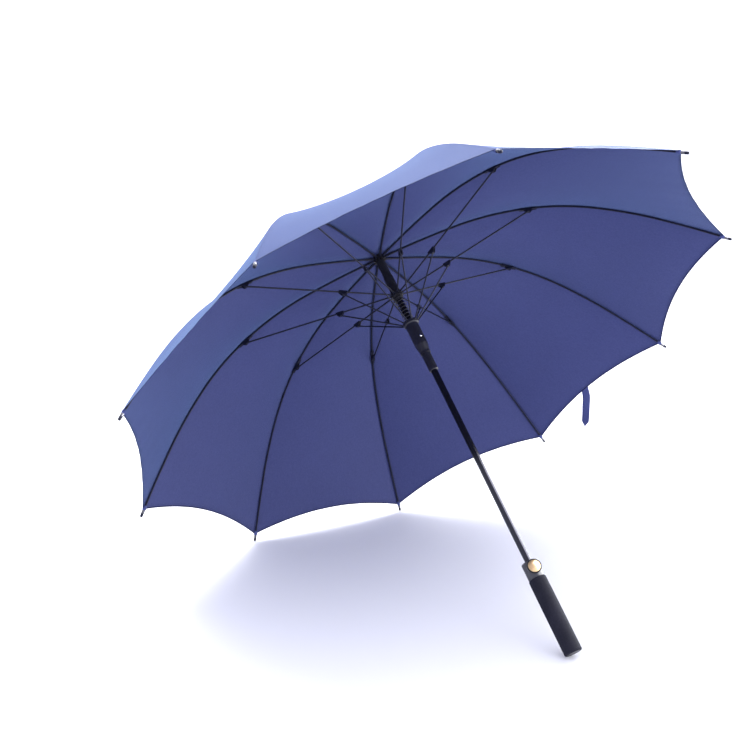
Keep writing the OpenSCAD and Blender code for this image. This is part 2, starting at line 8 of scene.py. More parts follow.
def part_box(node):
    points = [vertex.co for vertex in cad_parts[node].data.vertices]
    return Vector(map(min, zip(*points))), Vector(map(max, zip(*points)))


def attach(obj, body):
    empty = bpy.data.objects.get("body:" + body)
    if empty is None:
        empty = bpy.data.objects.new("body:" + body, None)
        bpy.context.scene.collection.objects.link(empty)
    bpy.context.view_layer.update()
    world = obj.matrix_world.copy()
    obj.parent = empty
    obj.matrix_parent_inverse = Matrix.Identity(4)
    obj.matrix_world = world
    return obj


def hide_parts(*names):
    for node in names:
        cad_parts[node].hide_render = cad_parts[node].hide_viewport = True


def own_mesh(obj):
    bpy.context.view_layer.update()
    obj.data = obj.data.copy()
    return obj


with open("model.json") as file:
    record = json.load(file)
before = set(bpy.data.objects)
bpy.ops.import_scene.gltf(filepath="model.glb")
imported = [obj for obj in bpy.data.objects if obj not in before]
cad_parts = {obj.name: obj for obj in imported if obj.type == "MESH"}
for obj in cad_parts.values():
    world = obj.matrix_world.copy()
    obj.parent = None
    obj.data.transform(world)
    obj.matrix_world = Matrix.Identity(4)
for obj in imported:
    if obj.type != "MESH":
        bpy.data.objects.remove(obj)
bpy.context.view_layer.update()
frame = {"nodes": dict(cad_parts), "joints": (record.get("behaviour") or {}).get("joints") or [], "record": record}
nodes = frame["nodes"]
record = frame["record"]
joints = {j["name"]: j for j in frame["joints"]}

MM = 0.001
RIB_COUNT = 10
SECTOR = 2 * math.pi / RIB_COUNT
HALF = SECTOR / 2
FIRST_AZIMUTH = -math.pi / 2


def azimuth(i):
    return FIRST_AZIMUTH + i * SECTOR


def polar(a, r, z):
    return Vector((r * math.cos(a), r * math.sin(a), z))


# ---------------------------------------------------------------- measures of the frame
crown_z = joints["rib_inner_01_fold"]["pos_m"][2]
hinge_r = math.hypot(*joints["rib_inner_01_fold"]["pos_m"][:2])
flex_r = math.hypot(*joints["rib_outer_01_flex"]["pos_m"][:2])
grip_lo, grip_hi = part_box("foam_grip")

# the rib is a chain of arcs, each with a share of the bend; its lengths in millimetres and its
# bends in degrees are those of part.scad
RIB_D = 3.8 * MM
INNER_LEN, OUTER_LEN = 330, 418
INNER_BEND, OUTER_BEND = 21.4, 27.3
ROOT_SLOPE = math.radians(-0.4)
ARC_LEN = [INNER_LEN / 2 * MM] * 2 + [OUTER_LEN / 3 * MM] * 3
ARC_TURN = [math.radians(t) for t in (
    INNER_BEND * 0.25, INNER_BEND * 0.75,
    OUTER_BEND * 5 / 9, OUTER_BEND * 3 / 9, OUTER_BEND / 9)]
RUN = sum(ARC_LEN)
CAP_OUT = 14 * MM
CAP_R = 3.2 * MM

# the cloth lies over the rib, and comes down to it near the crown
LIFT = RIB_D / 2 + 1.45 * MM
CROWN_LIFT = 5.2 * MM
CROWN_FLAT = 42 * MM
HEM = 29 * MM
SAG = 16 * MM
PUCKER_FROM = 0.72
PUCKER = 0.5 * MM
PUCKERS = 7


def rib(s):
    """Radius, height and downward slope of a rib's middle line, s along it from the crown."""
    x, z, t = hinge_r, crown_z, ROOT_SLOPE
    for length, turn in zip(ARC_LEN, ARC_TURN):
        d = min(s, length)
        if d > 1e-9:
            c = length / turn
            a = turn * d / length
            x += c * (math.sin(t + a) - math.sin(t))
            z -= c * (math.cos(t) - math.cos(t + a))
            t += a
        s -= d
        if s <= 1e-9:
            return x, z, t
    return x + s * math.cos(t), z - s * math.sin(t), t


S_TABLE = np.linspace(0, RUN, 400)
X_TABLE = np.array([rib(s)[0] for s in S_TABLE])


def s_at(x):
    return float(np.interp(x, X_TABLE, S_TABLE))


def smooth(f):
    return f * f * (3 - 2 * f)


def ease(s):
    return smooth(min(max(s / CROWN_FLAT, 0), 1))


def hem_s(u):
    """Length along the rib at which the hem lies; u is -1 on the rib and 0 in the middle."""
    return RUN - HEM * (1 - u * u)


def seam_s(u):
    """Length along the rib at which the gore crosses the plane of the rib's flex joint."""
    return s_at(flex_r / (math.cos(HALF) ** 2 - u * math.sin(HALF) ** 2))


def cloth_point(i, side, u, s, up=0.0):
    """A point of the canopy beside rib i, on its side +1 or -1."""
    v = s / hem_s(u)
    x, z, t = rib(s)
    o = LIFT + (CROWN_LIFT - LIFT) * (1 - ease(s)) + up
    x += o * math.sin(t)
    z += o * math.cos(t)
    sag = SAG * (1 - u * u) * math.sin(math.pi * min(v, 1) ** 0.9) * ease(s)
    # small puckers that run in from the rib tips and from the hem
    near = max(0.0, (v - PUCKER_FROM) / (1 - PUCKER_FROM))
    wave = math.sin(math.pi * PUCKERS * (1 + u))
    sag += PUCKER * near ** 2 * wave * (1 - abs(u)) ** 0.5 * (1 - u * u)
    X = x * math.cos(HALF) - sag * math.sin(t)
    Y = side * u * x * math.sin(HALF)
    Z = z - sag * math.cos(t)
    a = azimuth(i) + side * HALF
    return Vector((X * math.cos(a) - Y * math.sin(a), X * math.sin(a) + Y * math.cos(a), Z))


# ---------------------------------------------------------------- materials
class Tree:
    """A material with one Principled shader, and short calls for the nodes that feed it."""

    def __init__(self, name):
        self.m = bpy.data.materials.new(name)
        self.m.use_nodes = True
        self.t = self.m.node_tree
        self.t.nodes.clear()
        self.out = self.add("ShaderNodeOutputMaterial")
        self.bsdf = self.add("ShaderNodeBsdfPrincipled")
        self.t.links.new(self.bsdf.outputs[0], self.out.inputs[0])

    def add(self, kind, **props):
        n = self.t.nodes.new(kind)
        for k, v in props.items():
            setattr(n, k, v)
        return n

    def link(self, a, b):
        self.t.links.new(a, b)

    def put(self, socket, value):
        if hasattr(value, "is_output"):
            self.link(value, socket)
        else:
            socket.default_value = value

    def math(self, op, a, b=0.0, clamp=False):
        n = self.add("ShaderNodeMath", operation=op, use_clamp=clamp)
        self.put(n.inputs[0], a)
        self.put(n.inputs[1], b)
        return n.outputs[0]

    def weighted(self, *terms):
        """Sum of (value, weight) terms."""
        total = None
        for value, weight in reversed(terms):
            term = self.math("MULTIPLY", value, weight)
            total = term if total is None else self.math("ADD", term, total)
        return total

    def wave(self, value, pitch):
        return self.math("SINE", self.math("MULTIPLY", value, 2 * math.pi / pitch))

    def object_coords(self):
        return self.add("ShaderNodeTexCoord").outputs["Object"]

    def uv(self, name):
        return self.add("ShaderNodeUVMap", uv_map=name).outputs[0]

    def scaled(self, vector, scale):
        n = self.add("ShaderNodeMapping")
        self.link(vector, n.inputs[0])
        n.inputs["Scale"].default_value = scale
        return n.outputs[0]

    def split(self, vector):
        n = self.add("ShaderNodeSeparateXYZ")
        self.link(vector, n.inputs[0])
        return n.outputs[0], n.outputs[1]

    def noise(self, vector, scale, detail, rough):
        n = self.add("ShaderNodeTexNoise")
        self.link(vector, n.inputs["Vector"])
        n.inputs["Scale"].default_value = scale
        n.inputs["Detail"].default_value = detail
        n.inputs["Roughness"].default_value = rough
        return n.outputs["Fac"]

    def voronoi(self, vector, scale):
        n = self.add("ShaderNodeTexVoronoi")
        self.link(vector, n.inputs["Vector"])
        n.inputs["Scale"].default_value = scale
        return n.outputs["Distance"]

    def ramp(self, fac, stops):
        n = self.add("ShaderNodeValToRGB")
        self.link(fac, n.inputs[0])
        for el, (p, c) in zip(n.color_ramp.elements, stops):
            el.position = p
            el.color = (*c, 1)
        return n.outputs[0]

    def mix(self, fac, a, b):
        n = self.add("ShaderNodeMix", data_type="RGBA")
        self.put(n.inputs[0], fac)
        self.put(n.inputs[6], a)
        self.put(n.inputs[7], (*b, 1))
        return n.outputs[2]

    def remap(self, v, lo, hi):
        n = self.add("ShaderNodeMapRange")
        self.link(v, n.inputs[0])
        n.inputs[3].default_value = lo
        n.inputs[4].default_value = hi
        return n.outputs[0]

    def colour(self, fac, stops):
        self.link(self.ramp(fac, stops), self.bsdf.inputs["Base Color"])

    def rough(self, fac, lo, hi):
        self.link(self.remap(fac, lo, hi), self.bsdf.inputs["Roughness"])

    def bump(self, height, distance, strength):
        n = self.add("ShaderNodeBump")
        n.inputs["Strength"].default_value = strength
        n.inputs["Distance"].default_value = distance
        self.link(height, n.inputs["Height"])
        self.link(n.outputs[0], self.bsdf.inputs["Normal"])

    def fixed(self, **values):
        for k, v in values.items():
            self.bsdf.inputs[k.replace("_", " ")].default_value = v


def plastic(name, dark, light, rough, scale, depth, coat, specular):
    t = Tree(name)
    co = t.object_coords()
    big = t.noise(co, 35, 4, 0.6)
    fine = t.noise(co, scale, 2, 0.5)
    t.colour(big, [(0.3, dark), (0.75, light)])
    t.rough(fine, *rough)
    t.bump(fine, depth, 0.6)
    t.fixed(Coat_Weight=coat, Coat_Roughness=0.12, Specular_IOR_Level=specular)
    return t.m


def metal(name, dark, light, rough, stretch=(60, 60, 2500), metallic=1.0, coat=0.0):
    t = Tree(name)
    lines = t.noise(t.scaled(t.object_coords(), stretch), 1.0, 3, 0.6)
    t.colour(lines, [(0.3, dark), (0.7, light)])
    t.rough(lines, *rough)
    t.fixed(Metallic=metallic, Coat_Weight=coat, Coat_Roughness=0.08)
    t.bump(lines, 0.00002, 0.4)
    return t.m


def foam(name, dark, light):
    t = Tree(name)
    co = t.object_coords()
    cells = t.voronoi(co, 1500)
    grain = t.noise(co, 420, 4, 0.7)
    cloud = t.noise(co, 22, 3, 0.55)
    t.colour(t.weighted((grain, 0.6), (cloud, 0.4)), [(0.3, dark), (0.7, light)])
    t.rough(grain, 0.72, 0.95)
    t.fixed(Sheen_Weight=0.02, Sheen_Roughness=0.5, Specular_IOR_Level=0.13)
    t.bump(t.math("ADD", t.math("MULTIPLY", cells, 0.7), grain), 0.0004, 0.8)
    return t.m


# the sewing of the cloth, and the width of the dark hem line that is partly painted shade, in metres
WEAVE_PITCH = 0.0011
HEM_FOLD, SEAM_FOLD, ROLLED_HEM_SHADE_WIDTH = 0.0085, 0.0045, 0.0030
HEM_STITCH, SEAM_STITCH = 0.0070, 0.0036
STITCH_PITCH, STITCH_HALF = 0.0036, 0.0004
# level of the stitch's wave above which its thread shows
STITCH_DASH = -0.3
SHEEN_BLUE = (0.30, 0.60, 1.0, 1)


def cloth(name, dark, light, edge):
    """Plain woven cloth with sewn edges, and a dark line along the hem that paints the rolled hem and the shade at
    its edge.

    The map 'cloth' is across and along in metres, and 'edge' the distances from seam and hem.
    """
    t = Tree(name)
    uv = t.uv("cloth")
    across, along = t.split(uv)
    weave = t.math("MULTIPLY", t.wave(across, WEAVE_PITCH), t.wave(along, WEAVE_PITCH))
    threads = t.noise(t.scaled(uv, (900, 40, 1)), 1.0, 2, 0.5)
    grain = t.noise(t.object_coords(), 260, 3, 0.6)
    cloud = t.noise(t.object_coords(), 7, 2, 0.5)
    tone = t.weighted((threads, 0.34), (grain, 0.52), (cloud, 0.12), (weave, 0.06))
    body = t.ramp(tone, [(0.28, dark), (0.66, light)])

    from_seam, from_hem = t.split(t.uv("edge"))

    def fold_of(distance, width):
        return t.math("SUBTRACT", 1.0, t.math("DIVIDE", distance, width), clamp=True)

    def stitches(run, distance, at):
        dash = t.math("GREATER_THAN", t.wave(run, STITCH_PITCH), STITCH_DASH)
        off = t.math("ABSOLUTE", t.math("SUBTRACT", distance, at))
        return t.math("MULTIPLY", dash, t.math("LESS_THAN", off, STITCH_HALF))

    folds = t.math("MAXIMUM", fold_of(from_seam, SEAM_FOLD), fold_of(from_hem, HEM_FOLD))
    fold = t.math("GREATER_THAN", folds, 0.02)
    # painted shade: the dark line along the hem stands for the rolled hem and for the shade along its edge
    rolled_hem_shade = t.math("LESS_THAN", from_hem, ROLLED_HEM_SHADE_WIDTH)
    stitch = t.math("MAXIMUM", stitches(across, from_hem, HEM_STITCH),
                    stitches(along, from_seam, SEAM_STITCH))
    edged = t.mix(t.weighted((fold, 0.05), (rolled_hem_shade, 0.85)), body, edge)
    sewn = t.mix(t.math("MULTIPLY", stitch, 0.7), edged, edge)
    t.link(sewn, t.bsdf.inputs["Base Color"])
    t.rough(threads, 0.58, 0.78)
    t.fixed(Sheen_Weight=0.26, Sheen_Roughness=0.35, Sheen_Tint=SHEEN_BLUE, Specular_IOR_Level=0.1)
    height = t.weighted((weave, 0.25), (threads, 0.35), (fold, 1.2), (stitch, -1.5))
    t.bump(height, 0.00018, 0.7)
    return t.m


BLUE = cloth("blue_cloth", (0.034, 0.041, 0.122), (0.050, 0.059, 0.168), (0.008, 0.010, 0.050))
STRAP = cloth("strap_cloth", (0.040, 0.048, 0.15), (0.062, 0.072, 0.21), (0.012, 0.015, 0.07))
POCKET = cloth("pocket_cloth", (0.040, 0.050, 0.150), (0.060, 0.074, 0.205), (0.02, 0.025, 0.09))
FOAM = foam("black_foam", (0.004, 0.004, 0.009), (0.019, 0.019, 0.032))
CLIP = plastic("black_clip", (0.004, 0.004, 0.007), (0.012, 0.012, 0.018),
               (0.3, 0.45), 700, 0.00002, 0, 0.14)
RIBS = plastic("black_glass_fibre", (0.005, 0.006, 0.016), (0.010, 0.012, 0.030),
               (0.34, 0.5), 500, 0.00002, 0, 0.12)
ARMS = plastic("black_lacquer", (0.005, 0.006, 0.014), (0.012, 0.014, 0.030),
               (0.25, 0.4), 700, 0.00002, 0, 0.14)
FITTING = plastic("black_moulding", (0.005, 0.005, 0.008), (0.018, 0.018, 0.024),
                  (0.3, 0.45), 900, 0.00003, 0, 0.3)
GLOSSY = plastic("glossy_moulding", (0.006, 0.006, 0.011), (0.016, 0.016, 0.026),
                 (0.26, 0.38), 900, 0.00001, 0.1, 0.35)
COLLAR = plastic("grey_moulding", (0.018, 0.018, 0.026), (0.034, 0.034, 0.046),
                 (0.28, 0.4), 1100, 0.00003, 0.2, 0.4)
TRIM = plastic("black_ring", (0.003, 0.003, 0.004), (0.007, 0.007, 0.010),
               (0.3, 0.45), 900, 0.00001, 0, 0.2)
SHAFT = metal("black_tube", (0.014, 0.014, 0.020), (0.030, 0.030, 0.040),
              (0.08, 0.16), (400, 400, 3), 0.85, 0.15)
GOLD = metal("gold_plate", (0.36, 0.245, 0.135), (0.48, 0.34, 0.20), (0.24, 0.36), (900, 60, 900))
STEEL = metal("spring_steel", (0.020, 0.020, 0.024), (0.060, 0.060, 0.070),
              (0.22, 0.4), metallic=0.7)
SLEEVE = metal("dark_sleeve", (0.06, 0.06, 0.07), (0.16, 0.16, 0.18), (0.15, 0.3))
PIN = metal("bright_pin", (0.5, 0.5, 0.52), (0.75, 0.75, 0.77), (0.2, 0.35))

FINISH = {
    "rib": RIBS, "linkage": ARMS, "shaft": SHAFT, "fittings": FITTING, "runner": GLOSSY,
    "ferrule": GLOSSY, "pins": PIN, "spring": STEEL, "cloth": BLUE, "strap": STRAP, "core": FITTING,
    "foam": FOAM, "collar": COLLAR, "button": GOLD, "trim": TRIM,
}
for subpart in record["subparts"]:
    node = nodes[subpart["node"]]
    node.data.materials.clear()
    node.data.materials.append(FINISH[subpart["material_slot"]])
    for polygon in node.data.polygons:
        polygon.use_smooth = True
    node.data.set_sharp_from_angle(angle=math.radians(32))


# ---------------------------------------------------------------- meshes
def mesh_object(name, verts, faces, material, uvs=None, sharp=None):
    """An object from points and faces, smooth but for edges past the sharp angle in degrees."""
    me = bpy.data.meshes.new(name)
    me.from_pydata([tuple(v) for v in verts], [], faces)
    me.materials.append(material)
    for p in me.polygons:
        p.use_smooth = True
    for key, values in (uvs or {}).items():
        layer = me.uv_layers.new(name=key)
        for loop in me.loops:
            layer.data[loop.index].uv = values[loop.vertex_index]
    me.validate()
    o = bpy.data.objects.new(name, me)
    bpy.context.scene.collection.objects.link(o)
    if sharp is not None:
        me.set_sharp_from_angle(angle=math.radians(sharp))
    return o


def tube_faces(sections, around):
    """Faces of a tube with closed ends, through sections of so many points around."""
    faces = []
    for k in range(sections - 1):
        for j in range(around):
            a, b = k * around, (j + 1) % around
            faces.append((a + j, a + b, a + around + b, a + around + j))
    faces.append(tuple(reversed(range(around))))
    faces.append(tuple((sections - 1) * around + j for j in range(around)))
    return faces


def square_to(along):
    """The direction along, and two more at right angles to it."""
    along = along.normalized()
    side = along.orthogonal().normalized()
    return along, side, along.cross(side)


# place on the map 'edge' that is past every seam and stitch
NO_EDGE = (0.02, 0.02)


def lathe(name, start, along, profile, material, turns=20):
    """Solid of revolution: profile is (along the axis, radius) from one end to the other."""
    along, side, other = square_to(along)
    verts, around = [], []
    for d, r in profile:
        for k in range(turns):
            b = 2 * math.pi * k / turns
            verts.append(start + along * d + (side * math.cos(b) + other * math.sin(b)) * r)
            around.append((r * b, d))
    return mesh_object(name, verts, tube_faces(len(profile), turns), material,
                       {"cloth": around, "edge": [NO_EDGE] * len(verts)}, 40)


def turned_ring(name, start, along, loop, material, turns=64):
    """Hollow solid of revolution: loop is a closed line of (along the axis, radius)."""
    along, side, other = square_to(along)
    n = len(loop)
    verts = []
    for k in range(turns):
        b = 2 * math.pi * k / turns
        out = side * math.cos(b) + other * math.sin(b)
        verts += [start + along * d + out * r for d, r in loop]
    faces = []
    for k in range(turns):
        for j in range(n):
            a, b, c = k * n, (k + 1) % turns * n, (j + 1) % n
            faces.append((a + j, b + j, b + c, a + c))
    return mesh_object(name, verts, faces, material, sharp=35)


# ---------------------------------------------------------------- canopy
ACROSS = 12
ROW = ACROSS + 1
ROWS = {"inner": 26, "outer": 30}
# the rolled hem lies under the cloth, 3 mm wide: back from the hem, and down
HEM_ROLL = [(0.0, 0.0), (0.0, 0.0007), (0.003, 0.0007), (0.003, 0.0002)]
ROLL_SHIFT = 0.02


def half_gore(i, side, part):
    """The cloth between rib i and the middle of the gore, inside or outside the flex joint."""
    verts, cloth_uv, edge_uv = [], [], []

    def add(u, s, up=0.0, shift=0.0):
        verts.append(cloth_point(i, side, u, s, up))
        width = (1 + u) * rib(s)[0] * math.sin(HALF)
        cloth_uv.append((width, s + shift))
        edge_uv.append((width, hem_s(u) - s))

    def rows_of(base, rows):
        quads = []
        for r in range(rows):
            for c in range(ACROSS):
                a = base + r * ROW + c
                q = (a, a + 1, a + ROW + 1, a + ROW)
                quads.append(q[::-1] if side > 0 else q)
        return quads

    steps = [-1 + c / ACROSS for c in range(ROW)]
    rows = ROWS[part]
    for r in range(rows + 1):
        f = r / rows
        for u in steps:
            mid = seam_s(u)
            add(u, mid * f if part == "inner" else mid + (hem_s(u) - mid) * f)
    faces = rows_of(0, rows)
    if part == "outer":
        faces += rows_of(len(verts), len(HEM_ROLL) - 1)
        for back, drop in HEM_ROLL:
            for u in steps:
                add(u, hem_s(u) - back, -drop, ROLL_SHIFT)
    o = mesh_object(f"cloth_{part}_{i + 1:02d}_{'a' if side < 0 else 'b'}", verts, faces, BLUE,
                    {"cloth": cloth_uv, "edge": edge_uv})
    body = f"rib_{part}_{i + 1:02d}"
    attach(o, body)
    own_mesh(o)
    return o


gores = [half_gore(i, side, part)
         for i in range(RIB_COUNT) for side in (-1, 1) for part in ("inner", "outer")]
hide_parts("canopy")

# ---------------------------------------------------------------- rib tips and rib heads
POCKET_BACK = 9 * MM
CLIP_WALL = 0.7 * MM
CLIP_GAP = 0.12 * MM
CLIP_ALONG = [5 * MM, 6 * MM, 15 * MM, 23 * MM, 24 * MM]
CLIP_FROM, CLIP_SWEEP, CLIP_POINTS = -20, 220, 9
# the clip is a little slimmer at its ends
CLIP_END = 0.93


def rib_frame(i, s):
    """Point on a rib's middle line, and its directions along, sideways and out of the canopy."""
    x, z, t = rib(s)
    a = azimuth(i)
    out = Vector((math.cos(a), math.sin(a), 0))
    along = out * math.cos(t) - Vector((0, 0, 1)) * math.sin(t)
    up = out * math.sin(t) + Vector((0, 0, 1)) * math.cos(t)
    return polar(a, x, z), along, along.cross(up), up


def tip_pocket(i):
    """The sewn corner of the cloth that holds the cap."""
    at, along = rib_frame(i, RUN - POCKET_BACK)[:2]
    r = CAP_R + 0.7 * MM
    profile = [(0, r - 1.2 * MM), (1.5 * MM, r - 0.2 * MM), (5 * MM, r + 0.2 * MM),
               (8.5 * MM, r), (10 * MM, r - 0.5 * MM)]
    o = lathe(f"tip_pocket_{i + 1:02d}", at, along, profile, POCKET)
    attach(o, f"rib_outer_{i + 1:02d}")


def tip_sleeve(i):
    """The bright sleeve on the cap, past the pocket."""
    at, along = rib_frame(i, RUN + 1 * MM)[:2]
    r = CAP_R + 0.12 * MM
    profile = [(0, r), (7.2 * MM, r), (7.6 * MM, r - 0.3 * MM)]
    o = lathe(f"tip_sleeve_{i + 1:02d}", at, along, profile, SLEEVE)
    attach(o, f"rib_outer_{i + 1:02d}")


def rib_head(i):
    """Folded steel clip round the root of a rib, open towards the shaft."""
    inside = RIB_D / 2 + CLIP_GAP
    outside = inside + CLIP_WALL
    angles = [math.radians(CLIP_FROM + CLIP_SWEEP * k / (CLIP_POINTS - 1))
              for k in range(CLIP_POINTS)]
    ring = [(math.cos(b) * outside, math.sin(b) * outside) for b in angles]
    ring += [(math.cos(b) * inside, math.sin(b) * inside) for b in reversed(angles)]
    verts = []
    for s in CLIP_ALONG:
        at, _, side, up = rib_frame(i, s)
        slim = CLIP_END if s in (CLIP_ALONG[0], CLIP_ALONG[-1]) else 1
        verts += [at + side * c * slim + up * d * slim for c, d in ring]
    faces = [q[::-1] for q in tube_faces(len(CLIP_ALONG), len(ring))]
    o = mesh_object(f"rib_head_{i + 1:02d}", verts, faces, CLIP, sharp=40)
    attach(o, f"rib_inner_{i + 1:02d}")


# ---------------------------------------------------------------- button and rivet
BARREL_R = 14 * MM
RIVET_AT = math.radians(-80)
RIVET_BELOW = 46 * MM
DOME, ROLL = 2.2 * MM, 0.5 * MM
BEZEL_GAP, BEZEL_OUT = 0.25 * MM, 2.3 * MM


def push_button():
    """Domed gold cap with a rolled edge, and the black bezel that it moves in."""
    front = Vector((0, -1, 0))
    lo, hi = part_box("button")
    r = (hi.x - lo.x) / 2
    back_of = Vector((0, hi.y, (lo.z + hi.z) / 2))
    rise = hi.y - lo.y
    edge = rise - DOME
    profile = [(0, r - 0.2 * MM), (0.2 * MM, r)]
    profile += [(edge - ROLL + ROLL * math.sin(a), r - ROLL + ROLL * math.cos(a))
                for a in (math.pi / 2 * k / 5 for k in range(6))]
    ball = ((r - ROLL) ** 2 + DOME ** 2) / (2 * DOME)
    profile += [(rise - ball + math.sqrt(ball ** 2 - q ** 2), q)
                for q in ((r - ROLL) * (1 - k / 14) for k in range(1, 14))]
    profile.append((rise, 0.05 * MM))
    cap = lathe("button_cap", back_of, front, profile, GOLD, 64)
    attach(cap, "push_button")
    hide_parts("button")

    lo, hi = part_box("button_ring")
    top = hi.y - lo.y
    inner, outer = r + BEZEL_GAP, r + BEZEL_OUT
    loop = [(-2.2 * MM, outer - 0.3 * MM), (-2.0 * MM, outer), (top - 0.7 * MM, outer),
            (top - 0.2 * MM, outer - 0.35 * MM), (top, outer - 0.9 * MM),
            (top, inner + 0.4 * MM), (top - 0.3 * MM, inner), (-0.4 * MM, inner),
            (-0.4 * MM, r + 1.25 * MM), (-2.2 * MM, r + 1.25 * MM)]
    bezel = turned_ring("button_bezel", Vector((0, hi.y, back_of.z)), front, loop, TRIM)
    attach(bezel, "frame")
    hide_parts("button_ring")


def runner_rivet():
    """Small bright rivet head on the barrel of the lower runner."""
    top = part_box("lower_runner")[1].z
    at = polar(RIVET_AT, BARREL_R - 0.3 * MM, top - RIVET_BELOW)
    profile = [(0, 2.4 * MM), (0.6 * MM, 2.4 * MM), (1.1 * MM, 1.8 * MM),
               (1.35 * MM, 0.9 * MM), (1.4 * MM, 0.1 * MM)]
    o = lathe("runner_rivet", at, polar(RIVET_AT, 1, 0), profile, PIN)
    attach(o, "lower_runner")


push_button()
runner_rivet()
for i in range(RIB_COUNT):
    tip_pocket(i)
    tip_sleeve(i)
    rib_head(i)

# ---------------------------------------------------------------- closing strap
STRAP_RIB = 4
STRAP_W = 19 * MM
STRAP_T = 1.1 * MM
STRAP_ACROSS = [-1, -0.92, -0.45, 0, 0.45, 0.92, 1]
STRAP_MID = 3
STRAP_FOLD = 4 * MM
# on the gore: a short sewn leg, a turn, and a straight leg that runs past the hem
SEWN_B = 59 * MM
SEWN_LEN = 19 * MM
SEWN_WIDTH = 0.7
TURN_R = 10 * MM
TURNED = math.radians(122)
TURN_AT = (2 * MM, SEWN_B - TURN_R)
PAST_HEM = 7 * MM
LEG_STEPS = [(0, 6), (1, 14), (2, 12)]
WIDEN = 0.6
# it lies on the cloth, and stands off a little round this place in its turn
LIE, RISE, RISE_AT, RISE_OVER = 0.9 * MM, 1.6 * MM, 1.6, 0.35
# below the hem: it bends down, waves and twists a little, and ends in a point
HANG_LEN = 84 * MM
HANG_EXTRA = 8 * MM
HANG_STEPS = 26
WAY_DOWN = Vector((-0.177, 0.734, -0.656)).normalized()
BEND_RATE = 3.2
# height, half turns and start of the wave; size and half turns of the twist
WAVE, WAVES, WAVE_START = 1.7 * MM, 2.1, 0.4
TWIST, TWISTS = 0.16, 1.7
CUP = 0.5 * MM
POINT_FROM, POINT_WIDTH = 0.87, 0.10


def strap_head(f):
    return math.pi + TURNED * min(max(f - 1, 0), 1)


def strap_turn(f):
    h = strap_head(f)
    return TURN_AT[0] + TURN_R * math.sin(h), TURN_AT[1] - TURN_R * math.cos(h)


LEG_LEN = (strap_turn(2)[1] + PAST_HEM) / -math.sin(math.pi + TURNED)


def strap_line(f):
    """Middle line of the strap on the cloth: across from the gore's middle, and from the hem."""
    if f < 1:
        return TURN_AT[0] + SEWN_LEN * (1 - f), TURN_AT[1] + TURN_R
    if f < 2:
        return strap_turn(f)
    a, b = strap_turn(2)
    h = math.pi + TURNED
    return a + LEG_LEN * (f - 2) * math.cos(h), b + LEG_LEN * (f - 2) * math.sin(h)


def on_gore(a, b, up):
    """A point on the outside of the strap's gore, a to the side and b from the hem."""
    u = a / (rib(RUN - HEM - b)[0] * math.sin(HALF))
    p = cloth_point(STRAP_RIB, -1, -abs(u), hem_s(u) - b, up)
    if a < 0:
        # the half of the gore past its middle is the mirror of this one
        m = azimuth(STRAP_RIB) - HALF
        t = Vector((-math.sin(m), math.cos(m), 0))
        p -= t * 2 * p.dot(t)
    return p


def strap_sections():
    """Sections of the strap from its sewn end to its point, each a lower and an upper row."""
    rings = []
    steps = [leg + k / n for leg, n in LEG_STEPS for k in range(n)] + [len(LEG_STEPS)]
    for f in steps:
        h = strap_head(f)
        a, b = strap_line(f)
        half = STRAP_W / 2 * (SEWN_WIDTH if f < 2 else min(1, SEWN_WIDTH + WIDEN * (f - 2)))
        lift = LIE + RISE * math.exp(-((f - RISE_AT) / RISE_OVER) ** 2)
        rings.append([[on_gore(a - e * half * math.sin(h), b + e * half * math.cos(h), up)
                       for e in STRAP_ACROSS] for up in (lift, lift + STRAP_T)])
    low, top = rings[-1]
    at = (low[STRAP_MID] + top[STRAP_MID]) / 2
    before = (rings[-2][0][STRAP_MID] + rings[-2][1][STRAP_MID]) / 2
    go = (at - before).normalized()
    w0 = (low[-1] - low[0]).normalized()
    w1 = (w0 - WAY_DOWN * w0.dot(WAY_DOWN)).normalized()
    for k in range(1, HANG_STEPS + 1):
        f = k / HANG_STEPS
        g = smooth(min(1, f * BEND_RATE))
        d = (go * (1 - g) + WAY_DOWN * g).normalized()
        at = at + d * (HANG_LEN + HANG_EXTRA) / HANG_STEPS
        w = w0 * (1 - g) + w1 * g
        w = (w - d * w.dot(d)).normalized()
        m = w.cross(d).normalized()
        twist = TWIST * math.sin(TWISTS * math.pi * f)
        w = (w * math.cos(twist) + m * math.sin(twist)).normalized()
        m = w.cross(d).normalized()
        c = at + m * WAVE * math.sin(WAVES * math.pi * f + WAVE_START) * g
        half = STRAP_W / 2
        point = (f - POINT_FROM) / (1 - POINT_FROM)
        if point > 0:
            half *= max(POINT_WIDTH, 1 - (1 - POINT_WIDTH) * point)
        rings.append([[c + w * half * e + m * (t + CUP * (1 - e * e)) for e in STRAP_ACROSS]
                      for t in (STRAP_T / 2, -STRAP_T / 2)])
    return rings


def closing_strap():
    rings = strap_sections()
    verts, cloth_uv, edge_uv = [], [], []
    run = 0.0
    count = len(STRAP_ACROSS)
    last = None
    for low, top in rings:
        c = (low[STRAP_MID] + top[STRAP_MID]) / 2
        run += (c - last).length if last is not None else 0
        last = c
        wide = (low[-1] - low[0]).length
        for k, p in enumerate(low + top[::-1]):
            verts.append(p)
            x = (p - (low[0] if k < count else top[0])).length
            cloth_uv.append((x, run))
            edge_uv.append((NO_EDGE[0], STRAP_FOLD + min(x, wide - x)))
    faces = [q[::-1] for q in tube_faces(len(rings), 2 * count)]
    o = mesh_object("closing_strap", verts, faces, STRAP,
                    {"cloth": cloth_uv, "edge": edge_uv}, 50)
    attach(o, f"rib_outer_{STRAP_RIB + 1:02d}")
    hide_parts("tie_strap")
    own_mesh(o)


closing_strap()

